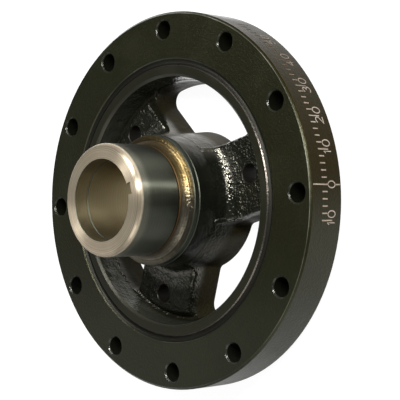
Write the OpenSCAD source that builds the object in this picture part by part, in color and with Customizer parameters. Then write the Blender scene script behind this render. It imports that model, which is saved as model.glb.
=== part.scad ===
// Harmonic balancer: a spoked cast hub, a bonded elastomer ring and an outer inertia ring.
// The origin is on the bore's axis in the hub's front face, which is the face that takes the
// crank pulley. +Z runs along the bore to the nose, which passes through the timing cover.

/* [Inertia ring] */
// Outer diameter of the inertia ring
ring_d = 165; // [163:0.5:170]
// Inner diameter of the inertia ring, where the elastomer is bonded
ring_bore_d = 123.8; // [123:0.2:126]
// Thickness of the inertia ring along the bore
ring_width = 19.5; // [18:0.5:22]
// Distance that the ring's front face stands back from the hub's front face
ring_setback = 4; // [2:0.5:6]
// Chamfer on the ring's outer edges
ring_chamfer = 1; // [0.5:0.1:1.5]

/* [Ring drillings] */
// Number of blind drillings in the ring's rear face
drilling_count = 12; // [6:1:16]
// Diameter of the circle that the drillings lie on
drilling_circle_d = 150; // [148:0.5:152]
// Diameter of a drilling
drilling_d = 8; // [6:0.5:9]
// Diameter of the countersink at a drilling's mouth
drilling_mouth_d = 9.4; // [9.4:0.2:10.6]
// Depth of a drilling's straight wall
drilling_depth = 12; // [6:0.5:13]
// Angle of the first drilling
drilling_angle = 2.4; // [0:0.2:29]

/* [Timing scale] */
// Angle of the zero line, on the side that the timing pointer reads
scale_zero_angle = 4.5; // [0:0.5:20]
// First mark, in degrees of crankshaft turn before the zero line
scale_first = -10; // [-20:10:-10]
// Last mark, in degrees of crankshaft turn after the zero line
scale_last = 60; // [40:10:60]
// Turn between two marks
mark_step = 2; // [1:1:5]
// Width of a cut mark
mark_w = 0.6; // [0.4:0.1:0.9]
// Depth of a cut mark
mark_depth = 0.2; // [0.1:0.05:0.4]
// Length of a short mark
mark_short = 3.2; // [2:0.2:4]
// Length of the mark at every ten degrees
mark_long = 6.6; // [5:0.2:8]
// Distance from the ring's rear face to the top of the marks
mark_drop = 7; // [6:0.5:8]

/* [Elastomer ring] */
// Depth of the meniscus between the metal edges, at each end
elastomer_recess = 0.9; // [0.5:0.1:1.5]

/* [Hub rim] */
// Outer diameter of the hub's rim, where the elastomer is bonded
rim_d = 119; // [117:0.2:120]
// Inner diameter of the rim at its rear face
rim_bore_rear_d = 108.6; // [108:0.2:111]
// Inner diameter of the rim at its front face
rim_bore_front_d = 105; // [104:0.5:108]
// Height of the rim above the hub's front face
rim_h = 23.3; // [22:0.1:24]

/* [Spokes] */
// Number of spokes, each with a pad for a pulley bolt
spoke_count = 3; // [3:1:3]
// Angle of the first spoke
spoke_angle = 15.3; // [0:0.1:60]
// Width of a spoke under the rounding of its rear edges
spoke_rear_w = 33.2; // [31:0.2:33.8]
// Width of a spoke at the hub's front face
spoke_front_w = 34.8; // [34:0.2:36]
// Radius of the rounding along a spoke's rear edges
spoke_edge_r = 2; // [1:0.25:2.5]
// Height of the pad's face above the hub's front face
pad_h = 15.5; // [14:0.5:16.5]
// Distance from the axis to the pad's inner edge
pad_inner_r = 34; // [33:0.5:36]
// Distance from the axis to the pad's outer edge
pad_outer_r = 49.8; // [49:0.1:50]
// Height of the valley between the pad and the rim
valley_h = 11.5; // [10:0.5:12.5]
// Radius of the fillet between a spoke's side and the rim, in a window's corner
corner_rim_r = 5; // [4:0.5:7]
// Radius of the fillet between a spoke's side and the barrel, in a window's corner
corner_barrel_r = 3; // [2:0.5:4]
// Diameter of the circle that the pulley bolt holes lie on
bolt_circle_d = 86; // [84:0.5:87]
// Tapping diameter of a pulley bolt hole
bolt_hole_d = 8; // [6.5:0.1:9]

/* [Barrel and nose] */
// Diameter of the barrel at the hub's front face
barrel_front_d = 61.6; // [61:0.2:63]
// Diameter of the barrel where it meets the spokes' fillets
barrel_foot_d = 57.4; // [57:0.2:58]
// Diameter of the barrel below the machined shoulder
barrel_top_d = 57; // [56.6:0.2:57.4]
// Diameter of the machined shoulder
shoulder_d = 56.4; // [55.6:0.2:56.4]
// Height of the shoulder's lower edge above the hub's front face
shoulder_low = 31.5; // [30:0.5:33]
// Height of the shoulder's face above the hub's front face
shoulder_high = 34; // [33.5:0.5:35]
// Radius of the fillet between the shoulder and the nose
nose_fillet_r = 4; // [3:0.2:4]
// Diameter of the nose, where the timing cover's oil seal runs
nose_d = 47.74; // [46:0.02:48]
// Overall height of the hub
hub_h = 61.3; // [58:0.1:65]

/* [Bore] */
// Diameter of the bore that is pressed onto the crankshaft
bore_d = 33.6; // [31.6:0.1:34]
// Diameter of the lead-in at the nose's end
lead_d = 34.2; // [34.1:0.1:36]
// Length of the lead-in
lead_depth = 7; // [3:0.5:10]
// Diameter of the seat for the crankshaft bolt's washer, in the front face
washer_seat_d = 42; // [38:1:46]
// Depth of the washer's seat
washer_seat_depth = 5; // [3:0.5:8]
// Width of the keyway
keyway_w = 4.8; // [4:0.1:6]
// Distance from the axis to the keyway's floor
keyway_floor_r = 19.3; // [18.5:0.1:20]

/* [Hidden] */

cast_black = [0.07, 0.07, 0.06];
rubber_black = [0.03, 0.03, 0.03];
ring_black = [0.15, 0.15, 0.11];

ring_r = ring_d / 2;
ring_bore_r = ring_bore_d / 2;
ring_top = ring_setback + ring_width;
bond_chamfer = 0.5;

mark_count = (scale_last - scale_first) / mark_step;
line_edge_gap = 0.4;
number_gap_start = 10.4;
number_gap_end = 15.4;

rim_r = rim_d / 2;
rim_chamfer = 0.6;
rim_lip = 1.1;
valley_r = 2.5;
pad_edge_r = 1;
foot_fillet_r = 4.5;
barrel_foot_h = pad_h + foot_fillet_r;

shoulder_chamfer = 0.3;
relief_w = 1;
relief_depth = 0.4;
nose_round_r = 2.4;
fillet_top = shoulder_high + nose_fillet_r;

window_clear = 0.15;
window_top = 21;
spill = 1;
arc_steps = 5;
round_steps = 3;
spoke_edge_h = pad_h - spoke_edge_r;

// Points of an arc about centre c with radius r, from angle a0 to angle a1
function arc(c, r, a0, a1, steps = arc_steps) =
    [for (i = [0:steps]) let (a = a0 + (a1 - a0) * i / steps) c + r * [cos(a), sin(a)]];

// The point p turned by angle a about the axis
function turned(p, a) = [p[0] * cos(a) - p[1] * sin(a), p[0] * sin(a) + p[1] * cos(a)];

// The point p mirrored in the line through the axis at angle a
function mirrored(p, a) = turned([p[0], -p[1]], 2 * a);

// Radius of the rim's inner wall at height z, which has the casting's draft
function rim_wall_r(z) = (rim_bore_front_d + (rim_bore_rear_d - rim_bore_front_d) * z / rim_h) / 2;

// Radius of the barrel's wall at height z below the spokes' fillets
function barrel_wall_r(z) =
    (barrel_front_d + (barrel_foot_d - barrel_front_d) * z / barrel_foot_h) / 2;

// Half the width of a spoke at height z: drafted sides, with a quarter round along the rear edge
function spoke_half(z) =
    let (
        draft = (spoke_rear_w - spoke_front_w) * min(z, spoke_edge_h) / spoke_edge_h,
        rise = min(max(z - spoke_edge_h, 0), spoke_edge_r)
    )
    (spoke_front_w + draft) / 2 - spoke_edge_r + sqrt(pow(spoke_edge_r, 2) - pow(rise, 2));

// Heights of a window's outlines: its front end, up the quarter round, and its rear end
function window_levels() = concat(
    [-spill],
    [for (i = [0:round_steps]) spoke_edge_h + spoke_edge_r * sin(90 * i / round_steps)],
    [window_top]
);

// Half of a window's outline at height z, beside the spoke that lies along angle 0: from the
// middle of the barrel's arc, round both of the spoke's fillets, to the middle of the rim's arc.
function half_window(z) =
    let (
        half = spoke_half(z),
        inner = barrel_wall_r(z) + window_clear,
        outer = rim_wall_r(z) - window_clear,
        low = [sqrt(pow(inner + corner_barrel_r, 2) - pow(half + corner_barrel_r, 2)),
               half + corner_barrel_r],
        high = [sqrt(pow(outer - corner_rim_r, 2) - pow(half + corner_rim_r, 2)),
                half + corner_rim_r],
        low_angle = atan2(low[1], low[0]),
        high_angle = atan2(high[1], high[0]),
        middle = 180 / spoke_count
    )
    concat(
        arc([0, 0], inner, middle, low_angle),
        [for (p = arc(low, corner_barrel_r, 180 + low_angle, 270)) if (p != low) p],
        arc(high, corner_rim_r, -90, high_angle),
        arc([0, 0], outer, high_angle, middle)
    );

// A list without any point that lies on the one before it
function distinct(list) =
    [for (i = [0:len(list) - 1])
        if (i == 0 || norm(list[i] - list[max(i - 1, 0)]) > 0.001) list[i]];

function window_outline(z) =
    let (
        half = distinct(half_window(z)),
        middle = 180 / spoke_count,
        count = len(half)
    )
    concat(half, [for (i = [count - 2:-1:1]) mirrored(half[i], middle)]);

// Section of the hub's outside, from the axis round to the axis, as [radius, height]
function hub_section() =
    let (
        wall_foot = rim_wall_r(valley_h + valley_r),
        lip_r = rim_wall_r(rim_h)
    )
    concat(
        [[0, 0], [rim_r - rim_chamfer, 0], [rim_r, rim_chamfer]],
        [[rim_r, rim_h - rim_chamfer], [rim_r - rim_chamfer, rim_h]],
        [[lip_r + rim_lip, rim_h], [lip_r, rim_h - rim_lip]],
        arc([wall_foot - valley_r, valley_h + valley_r], valley_r, 0, -90, 4),
        arc([pad_outer_r - pad_edge_r, pad_h - pad_edge_r], pad_edge_r, 0, 90, 4),
        arc([pad_inner_r, pad_h + foot_fillet_r], foot_fillet_r, 270, 180, 5),
        [[barrel_foot_d / 2, barrel_foot_h + spill]],
        [[barrel_top_d / 2, shoulder_low - shoulder_chamfer]],
        [[shoulder_d / 2, shoulder_low]],
        [[shoulder_d / 2, shoulder_high - shoulder_chamfer]],
        [[shoulder_d / 2 - shoulder_chamfer, shoulder_high]],
        arc([nose_d / 2 + nose_fillet_r, fillet_top], nose_fillet_r, 270, 180, 6),
        [[nose_d / 2 - relief_depth, fillet_top + relief_depth]],
        [[nose_d / 2 - relief_depth, fillet_top + relief_w]],
        [[nose_d / 2, fillet_top + relief_w + relief_depth]],
        arc([nose_d / 2 - nose_round_r, hub_h - nose_round_r], nose_round_r, 0, 90, 4),
        [[0, hub_h]]
    );

// One through window between two spokes, skinned over its outlines
module window() {
    levels = window_levels();
    outlines = [for (z = levels) [for (p = window_outline(z)) [p[0], p[1], z]]];
    count = len(outlines[0]);
    last = (len(levels) - 1) * count;
    sides = [for (k = [0:len(levels) - 2])
        for (i = [0:count - 1])
            let (j = (i + 1) % count, low = k * count)
            [low + i, low + count + i, low + count + j, low + j]];
    ends = [
        [for (i = [0:count - 1]) i],
        [for (i = [count - 1:-1:0]) last + i]
    ];
    polyhedron(points = [for (outline = outlines) each outline], faces = concat(ends, sides));
}

module pulley_bolt_hole() {
    translate([bolt_circle_d / 2, 0, -spill])
        cylinder(d = bolt_hole_d, h = pad_h + 2 * spill, $fn = 48);
}

module bore() {
    translate([0, 0, -spill])
        cylinder(d = bore_d, h = hub_h + 2 * spill, $fn = 96);
    translate([0, 0, hub_h - lead_depth])
        cylinder(d = lead_d, h = lead_depth + spill, $fn = 96);
    translate([0, 0, -spill])
        cylinder(d = washer_seat_d, h = washer_seat_depth + spill, $fn = 96);
    rotate(spoke_angle)
        translate([0, -keyway_w / 2, washer_seat_depth - spill])
            cube([keyway_floor_r, keyway_w, hub_h - washer_seat_depth + 2 * spill]);
}

module hub() {
    color(cast_black)
    difference() {
        rotate_extrude($fn = 160) polygon(hub_section());
        bore();
        for (i = [0:spoke_count - 1])
            rotate(spoke_angle + i * 360 / spoke_count) {
                window();
                pulley_bolt_hole();
            }
    }
}

// The elastomer fills the gap between the hub's rim and the ring, with a meniscus at each end
module elastomer_ring() {
    mid_r = (rim_r + ring_bore_r) / 2;
    low = ring_setback + bond_chamfer;
    high = ring_top - bond_chamfer;
    color(rubber_black)
    rotate_extrude($fn = 160)
        polygon([
            [rim_r, low],
            [mid_r, low + elastomer_recess],
            [ring_bore_r, low],
            [ring_bore_r, high],
            [mid_r, high - elastomer_recess],
            [rim_r, high]
        ]);
}

module drilling() {
    mouth_h = (drilling_mouth_d - drilling_d) / 2;
    translate([drilling_circle_d / 2, 0, ring_top - drilling_depth]) {
        cylinder(d = drilling_d, h = drilling_depth + spill, $fn = 48);
        translate([0, 0, -drilling_d / 4])
            cylinder(d1 = 0, d2 = drilling_d, h = drilling_d / 4, $fn = 48);
        translate([0, 0, drilling_depth - mouth_h])
            cylinder(d1 = drilling_d, d2 = drilling_mouth_d + 2 * spill, h = mouth_h + spill, $fn = 48);
    }
}

// One mark of the timing scale, cut into the ring's outer face between two heights
module mark(low, high) {
    translate([ring_r - mark_depth, -mark_w / 2, low])
        cube([mark_depth + spill, mark_w, high - low]);
}

// The marks, with the zero line in two lengths so that its number stands between them
module timing_marks() {
    line_low = ring_setback + ring_chamfer + line_edge_gap;
    line_high = ring_top - ring_chamfer - line_edge_gap;
    for (i = [0:mark_count]) {
        value = scale_first + i * mark_step;
        rotate(scale_zero_angle + value)
            if (value == 0) {
                mark(ring_top - number_gap_start, line_high);
                mark(line_low, ring_top - number_gap_end);
            } else {
                length = value % 10 == 0 ? mark_long : mark_short;
                mark(ring_top - mark_drop - length, ring_top - mark_drop);
            }
    }
}

module inertia_ring() {
    color(ring_black)
    difference() {
        rotate_extrude($fn = 180)
            polygon([
                [ring_bore_r + bond_chamfer, ring_setback],
                [ring_r - ring_chamfer, ring_setback],
                [ring_r, ring_setback + ring_chamfer],
                [ring_r, ring_top - ring_chamfer],
                [ring_r - ring_chamfer, ring_top],
                [ring_bore_r + bond_chamfer, ring_top],
                [ring_bore_r, ring_top - bond_chamfer],
                [ring_bore_r, ring_setback + bond_chamfer]
            ]);
        for (i = [0:drilling_count - 1])
            rotate(drilling_angle + i * 360 / drilling_count) drilling();
        timing_marks();
    }
}

hub();
elastomer_ring();
inertia_ring();
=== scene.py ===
import bmesh
import bpy
import numpy as np
from mathutils import Matrix, Vector


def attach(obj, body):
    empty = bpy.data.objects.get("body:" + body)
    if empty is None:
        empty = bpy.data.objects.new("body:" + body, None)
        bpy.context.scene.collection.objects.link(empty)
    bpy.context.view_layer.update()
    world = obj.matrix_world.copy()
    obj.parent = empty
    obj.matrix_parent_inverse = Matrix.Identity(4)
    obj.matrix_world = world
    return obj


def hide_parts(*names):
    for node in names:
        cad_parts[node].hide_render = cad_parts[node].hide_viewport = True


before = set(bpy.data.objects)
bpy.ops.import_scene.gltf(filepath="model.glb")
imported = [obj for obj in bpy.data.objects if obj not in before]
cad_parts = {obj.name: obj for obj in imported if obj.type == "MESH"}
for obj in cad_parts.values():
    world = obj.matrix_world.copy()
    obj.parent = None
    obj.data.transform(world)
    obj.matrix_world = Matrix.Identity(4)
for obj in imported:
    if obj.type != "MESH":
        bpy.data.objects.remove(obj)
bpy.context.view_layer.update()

mm = 0.001  # dictionaries of sizes are in millimetres, those of looks and lights in metres

cameraSettings = {
    "place": (0.41127, -0.00124, 0.40815),
    "right": (0.70143, 0.00264, -0.71275),  # the picture's right, so that the nose points left
    "up": (0.0, 1.0, 0.0037),
    "lens": 115.81,
    "sensor": 36.0,
    "nearest": 0.01,  # nothing nearer is drawn
}

# Each range is where it starts and ends, and then its brightness there, for the direction x, y, z
# that a mirrored ray takes. away is how far that leaves the middle of the picture, up or down.
lightSettings = {
    "ambient": 0.42,  # the world's light on matt surfaces
    "dark": 0.04,  # the least that gloss and metal see of the world, towards the camera
    "middle": -0.04,  # the y that away is counted from
    "sideWalls": {"away": (0.08, 0.5), "z": (0.3, 0.7, 1.0, 0.4), "x": (-0.35, 0.0, 0.25, 1.0),
                  "y": (-0.1, 0.1, 0.70, 0.46)},  # white walls below and above the picture
    "backWall": {"x": (-0.25, -0.65), "y": (0.15, -0.25, 0.15, 1.0),
                 "z": (0.58, 0.85, 0.72, 0.216)},  # a low wall behind the part
    # lamps: place, target, size, watts, and the direction of the second side
    "keyLight": ((-0.010, 0.475, 0.655), (0, 0, 0.02), (0.24, 0.24), 5.6, (0, 0, 1)),
    "fillLight": ((0.30, -0.60, 0.45), (0, 0, 0.02), (0.4, 0.4), 0.9, (0, 0, 1)),
    "stripLight": ((0.510, 0.318, 0.565), (0, 0, 0.03), (0.025, 0.60), 10.5, (-0.562, -0.152, 0.593)),
    "topLight": ((-0.225, 0.378, 0.78), (0, 0, 0.02), (0.3, 0.3), 2.0, (0, 0, 1)),
}

floorSettings = {
    "halfSize": 6.0,
    "colour": (0.75, 0.75, 0.75),
    "roughness": 0.9,
    "white": 1.12,  # the flat white that the camera sees
    "whiteShare": 0.84,  # and how much of it; the rest is the floor's own shading
    "mirroredShare": 0.85,  # the same for gloss, whose white is the next line's
    "mirrored": {"away": (0.11, 0.30, 0.95, 0.30), "y": (-0.09, 0.09, 0.75, 2.3)},  # brighter near the part
}


# A number or a colour is set on the socket, and anything else is linked to it
def feed(tree, socket, value):
    if isinstance(value, (int, float)):
        socket.default_value = value
    elif isinstance(value, tuple):
        socket.default_value = (*value, 1.0)
    elif value is not None:
        tree.links.new(value, socket)


# Math on one value, or on several that are taken in turn from the left
def addMath(tree, operation, result, *others):
    for value in others or (None,):
        node = tree.nodes.new("ShaderNodeMath")
        node.operation = operation
        feed(tree, node.inputs[0], result)
        feed(tree, node.inputs[1], value)
        result = node.outputs[0]
    return result


# The product of several values
def multiply(tree, *values):
    return addMath(tree, "MULTIPLY", *values)


# A smooth step from newLow to newHigh, as the value goes from low to high
def addRange(tree, value, low, high, newLow=0.0, newHigh=1.0):
    node = tree.nodes.new("ShaderNodeMapRange")
    node.interpolation_type = "SMOOTHSTEP"
    limits = {"From Min": low, "From Max": high, "To Min": newLow, "To Max": newHigh}
    for label, limit in {"Value": value, **limits}.items():
        feed(tree, node.inputs[label], limit)
    return node.outputs[0]


# The product of one smooth range for each place named
def addMask(tree, places, ranges):
    mask = 1.0
    for label, limits in ranges.items():
        mask = multiply(tree, mask, addRange(tree, places[label], *limits))
    return mask


# 1 inside the range and 0 outside it, with soft ends
def addBand(tree, value, low, high, soft):
    rise = addRange(tree, value, low - soft, low + soft)
    return multiply(tree, rise, addRange(tree, value, high - soft, high + soft, 1.0, 0.0))


# The first colour at a factor of 0 and the second at 1
def addMix(tree, factor, first, second):
    node = tree.nodes.new("ShaderNodeMix")
    node.data_type = "RGBA"
    for number, value in ((0, factor), (6, first), (7, second)):
        feed(tree, node.inputs[number], value)
    return node.outputs[2]


# White light of the given strength, as a background or an emission
def addWhite(tree, kind, strength):
    node = tree.nodes.new(kind)
    feed(tree, node.inputs["Color"], (1.0, 1.0, 1.0))
    feed(tree, node.inputs["Strength"], strength)
    return node.outputs[0]


def mixShaders(tree, share, first, second):
    node = tree.nodes.new("ShaderNodeMixShader")
    for socket, value in zip(node.inputs, (share, first, second)):
        feed(tree, socket, value)
    return node.outputs[0]


# The x, y and z of a vector
def splitVector(tree, vector):
    node = tree.nodes.new("ShaderNodeSeparateXYZ")
    feed(tree, node.inputs[0], vector)
    return node.outputs


# x, y, the height, and the distance from the axis: the root of x squared plus y squared
def objectPlaces(tree):
    x, y, height = splitVector(tree, tree.nodes.new("ShaderNodeTexCoord").outputs["Object"])
    total = addMath(tree, "ADD", multiply(tree, x, x), multiply(tree, y, y))
    return {"x": x, "y": y, "height": height, "radius": addMath(tree, "SQRT", total)}


# Puts an object at a place, with its Z axis along back and its Y axis as near up as that allows
def facing(place, back, up):
    back, up = Vector(back).normalized(), Vector(up)
    up = (up - back * up.dot(back)).normalized()
    return Matrix.Translation(place) @ Matrix((up.cross(back), up, back)).transposed().to_4x4()


def makeCamera(settings):
    data = bpy.data.cameras.new("photoCamera")
    data.lens = settings["lens"]
    data.sensor_width = settings["sensor"]
    data.clip_start = settings["nearest"]
    camera = bpy.data.objects.new("photoCamera", data)
    bpy.context.collection.objects.link(camera)
    right, up = Vector(settings["right"]).normalized(), Vector(settings["up"])
    up -= right * up.dot(right)
    camera.matrix_world = facing(settings["place"], right.cross(up), up)
    bpy.context.scene.camera = camera


# A rectangular lamp that faces the target, with its second side along the given direction
def makeAreaLight(name, place, target, size, watts, along):
    data = bpy.data.lights.new(name, "AREA")
    data.shape = "RECTANGLE"
    data.size, data.size_y = size
    data.energy = watts
    light = bpy.data.objects.new(name, data)
    bpy.context.collection.objects.link(light)
    light.matrix_world = facing(place, Vector(place) - Vector(target), along)


# The camera sees the world white, matt surfaces see it evenly lit, and gloss sees its walls
def makeWorld(settings):
    world = bpy.data.worlds.new("studio")
    bpy.context.scene.world = world
    world.use_nodes = True
    tree = world.node_tree
    tree.nodes.clear()
    path = tree.nodes.new("ShaderNodeLightPath").outputs
    x, y, z = splitVector(tree, tree.nodes.new("ShaderNodeTexCoord").outputs["Generated"])
    away = addMath(tree, "ABSOLUTE", addMath(tree, "SUBTRACT", y, settings["middle"]))
    places = {"x": x, "y": y, "z": z, "away": away}
    sides, back = addMask(tree, places, settings["sideWalls"]), addMask(tree, places, settings["backWall"])
    walls = addMath(tree, "MAXIMUM", sides, back, settings["dark"])
    plain = addWhite(tree, "ShaderNodeBackground", settings["ambient"])
    mirrored = addWhite(tree, "ShaderNodeBackground", walls)
    seen = addWhite(tree, "ShaderNodeBackground", 1.0)
    glossy = addMath(tree, "MAXIMUM", path["Is Glossy Ray"], path["Is Transmission Ray"])
    unseen = mixShaders(tree, glossy, plain, mirrored)
    out = tree.nodes.new("ShaderNodeOutputWorld")
    feed(tree, out.inputs["Surface"], mixShaders(tree, path["Is Camera Ray"], unseen, seen))


# The floor is a plain pale plane. The camera sees most of it as flat white and a little of its
# own shading, which keeps a faint shadow. Gloss sees it white too, and brighter near the part.
def makeFloor(settings):
    half = settings["halfSize"]
    mesh = bpy.data.meshes.new("floor")
    corners = [(-half, -half, 0), (half, -half, 0), (half, half, 0), (-half, half, 0)]
    mesh.from_pydata(corners, [], [(0, 1, 2, 3)])
    floor = bpy.data.objects.new("floor", mesh)
    bpy.context.collection.objects.link(floor)
    material = bpy.data.materials.new("paleFloor")
    material.use_nodes = True
    tree = material.node_tree
    tree.nodes.clear()
    shade = tree.nodes.new("ShaderNodeBsdfPrincipled")
    feed(tree, shade.inputs["Base Color"], settings["colour"])
    feed(tree, shade.inputs["Roughness"], settings["roughness"])
    position = tree.nodes.new("ShaderNodeNewGeometry").outputs["Position"]
    away = tree.nodes.new("ShaderNodeVectorMath")
    away.operation = "LENGTH"
    feed(tree, away.inputs[0], position)
    places = {"away": away.outputs["Value"], "y": splitVector(tree, position)[1]}
    white = addWhite(tree, "ShaderNodeEmission", settings["white"])
    mirrored = addWhite(tree, "ShaderNodeEmission", addMask(tree, places, settings["mirrored"]))
    path = tree.nodes.new("ShaderNodeLightPath").outputs
    seen = addMath(tree, "MAXIMUM", path["Is Camera Ray"], path["Is Transmission Ray"])
    seen = multiply(tree, seen, settings["whiteShare"])
    glossy = multiply(tree, path["Is Glossy Ray"], settings["mirroredShare"])
    result = mixShaders(tree, glossy, mixShaders(tree, seen, shade.outputs[0], white), mirrored)
    out = tree.nodes.new("ShaderNodeOutputMaterial")
    feed(tree, out.inputs["Surface"], result)
    mesh.materials.append(material)


bpy.context.scene.view_settings.view_transform = "Standard"
makeCamera(cameraSettings)
makeWorld(lightSettings)
makeFloor(floorSettings)
# Above and behind the rear face, on the nose's side, a strip for the journal, and from above
for lamp in ("keyLight", "fillLight", "stripLight", "topLight"):
    makeAreaLight(lamp, *lightSettings[lamp])
print("stage: camera, floor and lights")


def newGroup(name, inputs, outputs):
    group = bpy.data.node_groups.new(name, "ShaderNodeTree")
    for label, value in inputs.items():
        socket = group.interface.new_socket(name=label, in_out="INPUT", socket_type="NodeSocketFloat")
        socket.default_value = value
    for label in outputs:
        group.interface.new_socket(name=label, in_out="OUTPUT", socket_type="NodeSocketFloat")
    return group, group.nodes.new("NodeGroupInput").outputs, group.nodes.new("NodeGroupOutput").inputs


def addNoise(tree, vector, scale, detail, roughness):
    node = tree.nodes.new("ShaderNodeTexNoise")
    for label, value in (("Vector", vector), ("Scale", scale), ("Detail", detail), ("Roughness", roughness)):
        feed(tree, node.inputs[label], value)
    return node.outputs["Fac"]


# Grains of a sand casting under enamel: rounded pebbles whose size and height a broad swell
# changes, as a height in metres per metre of bump distance, and a 0 to 1 mask of the raised ones
def makeCastGrain():
    scales = {"Pebble Scale": 900.0, "Swell Scale": 220.0}
    group, enter, leave = newGroup("castGrain", scales, ("Height", "Grains"))
    where = group.nodes.new("ShaderNodeTexCoord").outputs["Object"]
    swell = addNoise(group, where, enter["Swell Scale"], 3.0, 0.55)
    pebble = group.nodes.new("ShaderNodeTexVoronoi")
    pebble.feature = "SMOOTH_F1"
    for label, value in (("Vector", where), ("Scale", enter["Pebble Scale"]), ("Smoothness", 0.5)):
        feed(group, pebble.inputs[label], value)
    raised = addMath(group, "SUBTRACT", 1.0, pebble.outputs["Distance"])
    size = addRange(group, swell, 0.35, 0.65, 0.4, 1.5)
    feed(group, leave["Height"], addMath(group, "ADD", multiply(group, raised, size), swell))
    feed(group, leave["Grains"], addRange(group, raised, 0.7, 0.95))
    return group


# Marks of a turning tool round the axis: rings whose pitch wanders a little, a noise of the
# radius and the height only. It is a bump's height and a streak of colour at once.
def makeTurning():
    scales = {"Radial Scale": 6000.0, "Axial Scale": 6000.0}
    group, enter, leave = newGroup("turning", scales, ("Height", "Streak"))
    places = objectPlaces(group)
    ring = group.nodes.new("ShaderNodeCombineXYZ")
    feed(group, ring.inputs[0], multiply(group, places["radius"], enter["Radial Scale"]))
    feed(group, ring.inputs[1], multiply(group, places["height"], enter["Axial Scale"]))
    streak = addNoise(group, ring.outputs[0], 1.0, 2.0, 0.6)
    feed(group, leave["Height"], streak)
    feed(group, leave["Streak"], streak)
    return group


# Patches of stain or handling: a noise, taken as 0 below Low and 1 above High
def makePatches():
    group, enter, leave = newGroup("patches", {"Scale": 40.0, "Low": 0.45, "High": 0.65}, ("Mask",))
    where = group.nodes.new("ShaderNodeTexCoord").outputs["Object"]
    noise = addNoise(group, where, enter["Scale"], 5.0, 0.6)
    feed(group, leave["Mask"], addRange(group, noise, enter["Low"], enter["High"]))
    return group


castGrain = makeCastGrain()
turning = makeTurning()
patches = makePatches()


def newMaterial(name):
    material = bpy.data.materials.new(name)
    material.use_nodes = True
    tree = material.node_tree
    return material, tree, tree.nodes["Principled BSDF"]


# Puts a group into a material with its own values, and returns its outputs
def addGroup(tree, group, **values):
    node = tree.nodes.new("ShaderNodeGroup")
    node.node_tree = group
    for label, value in values.items():
        node.inputs[label.replace("_", " ")].default_value = value
    return node.outputs


# Tilts the shader's normal by the slope of a height, on top of the bump that is under it
def addBump(tree, shader, height, distance, under=None):
    node = tree.nodes.new("ShaderNodeBump")
    node.inputs["Strength"].default_value = 1.0
    node.inputs["Distance"].default_value = distance
    feed(tree, node.inputs["Height"], height)
    feed(tree, node.inputs["Normal"], under)
    feed(tree, shader.inputs["Normal"], node.outputs[0])
    return node.outputs[0]


# A range is where it starts and ends, in metres or as a mask's 0 and 1, and then the values there.
# A name with several ranges is a mask, their product.
enamelFinish = {
    "pebbles": 1050.0, "swell": 420.0, "bump": 0.00031,
    "stain": {"Scale": 45.0, "Low": 0.45, "High": 0.62},
    "black": (0.0036, 0.0040, 0.0026), "grains": (0.005, 0.005, 0.0035),
    "deepHeight": (0.0145, 0.0075), "deepRadius": (0.0522, 0.0536, 0.0, 0.2),
    "brown": (0.0110, 0.0093, 0.0040), "deepGrains": (0.0022, 0.0020, 0.0010), "stainShare": 0.12,
    "grainy": {"height": (0.024, 0.0185, 0.18, 1.0), "radius": (0.0330, 0.0385, 0.45, 1.0),
               "deep": (0.0, 1.0, 1.0, 0.6), "clean": (0.0, 1.0, 1.0, 0.1)},
    "rimGrain": (0.0505, 0.0520, 1.0, 0.4),  # less grain on the rim's wall
    "padEdge": (-0.703, -0.711), "padOffset": 0.0172,  # the upper pad's edge: direction and distance
    "clean": {"offEdge": (0.0016, 0.0008), "y": (0.010, 0.014)},
    # the rim's upper inner wall is painted lighter: a painted sheen
    "rimWall": {"radius": (0.0505, 0.0520), "height": (0.012, 0.015)}, "rimWallSheen": (0.019, 0.0195, 0.0145),
    # the barrel's top side is painted a lighter beige: a painted highlight
    "barrelTop": {"y": (0.016, 0.029), "radius": (0.0300, 0.0320, 1.0, 0.0)},
    "barrelTopHighlight": (0.055, 0.052, 0.043),
    "slant": (-0.75, 1.0),  # the direction along which the lower walls turn a lighter grey
    "lowerRightWalls": {"slant": (-0.0335, -0.0365), "x": (0.010, 0.022), "radius": (0.0505, 0.0490)},
    "lowerSideGrey": (0.032, 0.0305, 0.023),
    "barrelWall": {"radius": (0.0345, 0.0325), "height": (0.026, 0.020)}, "windowWall": (0.0150, 0.0142),
    "roughness": (0.13, 0.19), "lowerWallRoughness": 0.15, "deepRoughness": 0.30,
    "barrelRoughness": (0.0300, 0.0320, 0.19, 0.0), "footRoughness": (0.0365, 0.0385, -0.05, 0.0),
    "shine": {"deep": (0.0, 1.0, 0.38, 0.0), "radius": (0.0365, 0.0400, 2.6, 0.48)}, "deepShine": 0.03,
    "barrelShine": (0.0300, 0.0320, 0.12, 1.0), "rimShine": (0.0500, 0.0520, 1.0, 1.6),
    "specularTint": (1.0, 0.96, 0.80),
}


# How far a place lies along a direction: x and y, each times its share
def addAlong(tree, places, direction):
    parts = (multiply(tree, places[label], share) for label, share in zip("xy", direction))
    return addMath(tree, "ADD", *parts)


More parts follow.
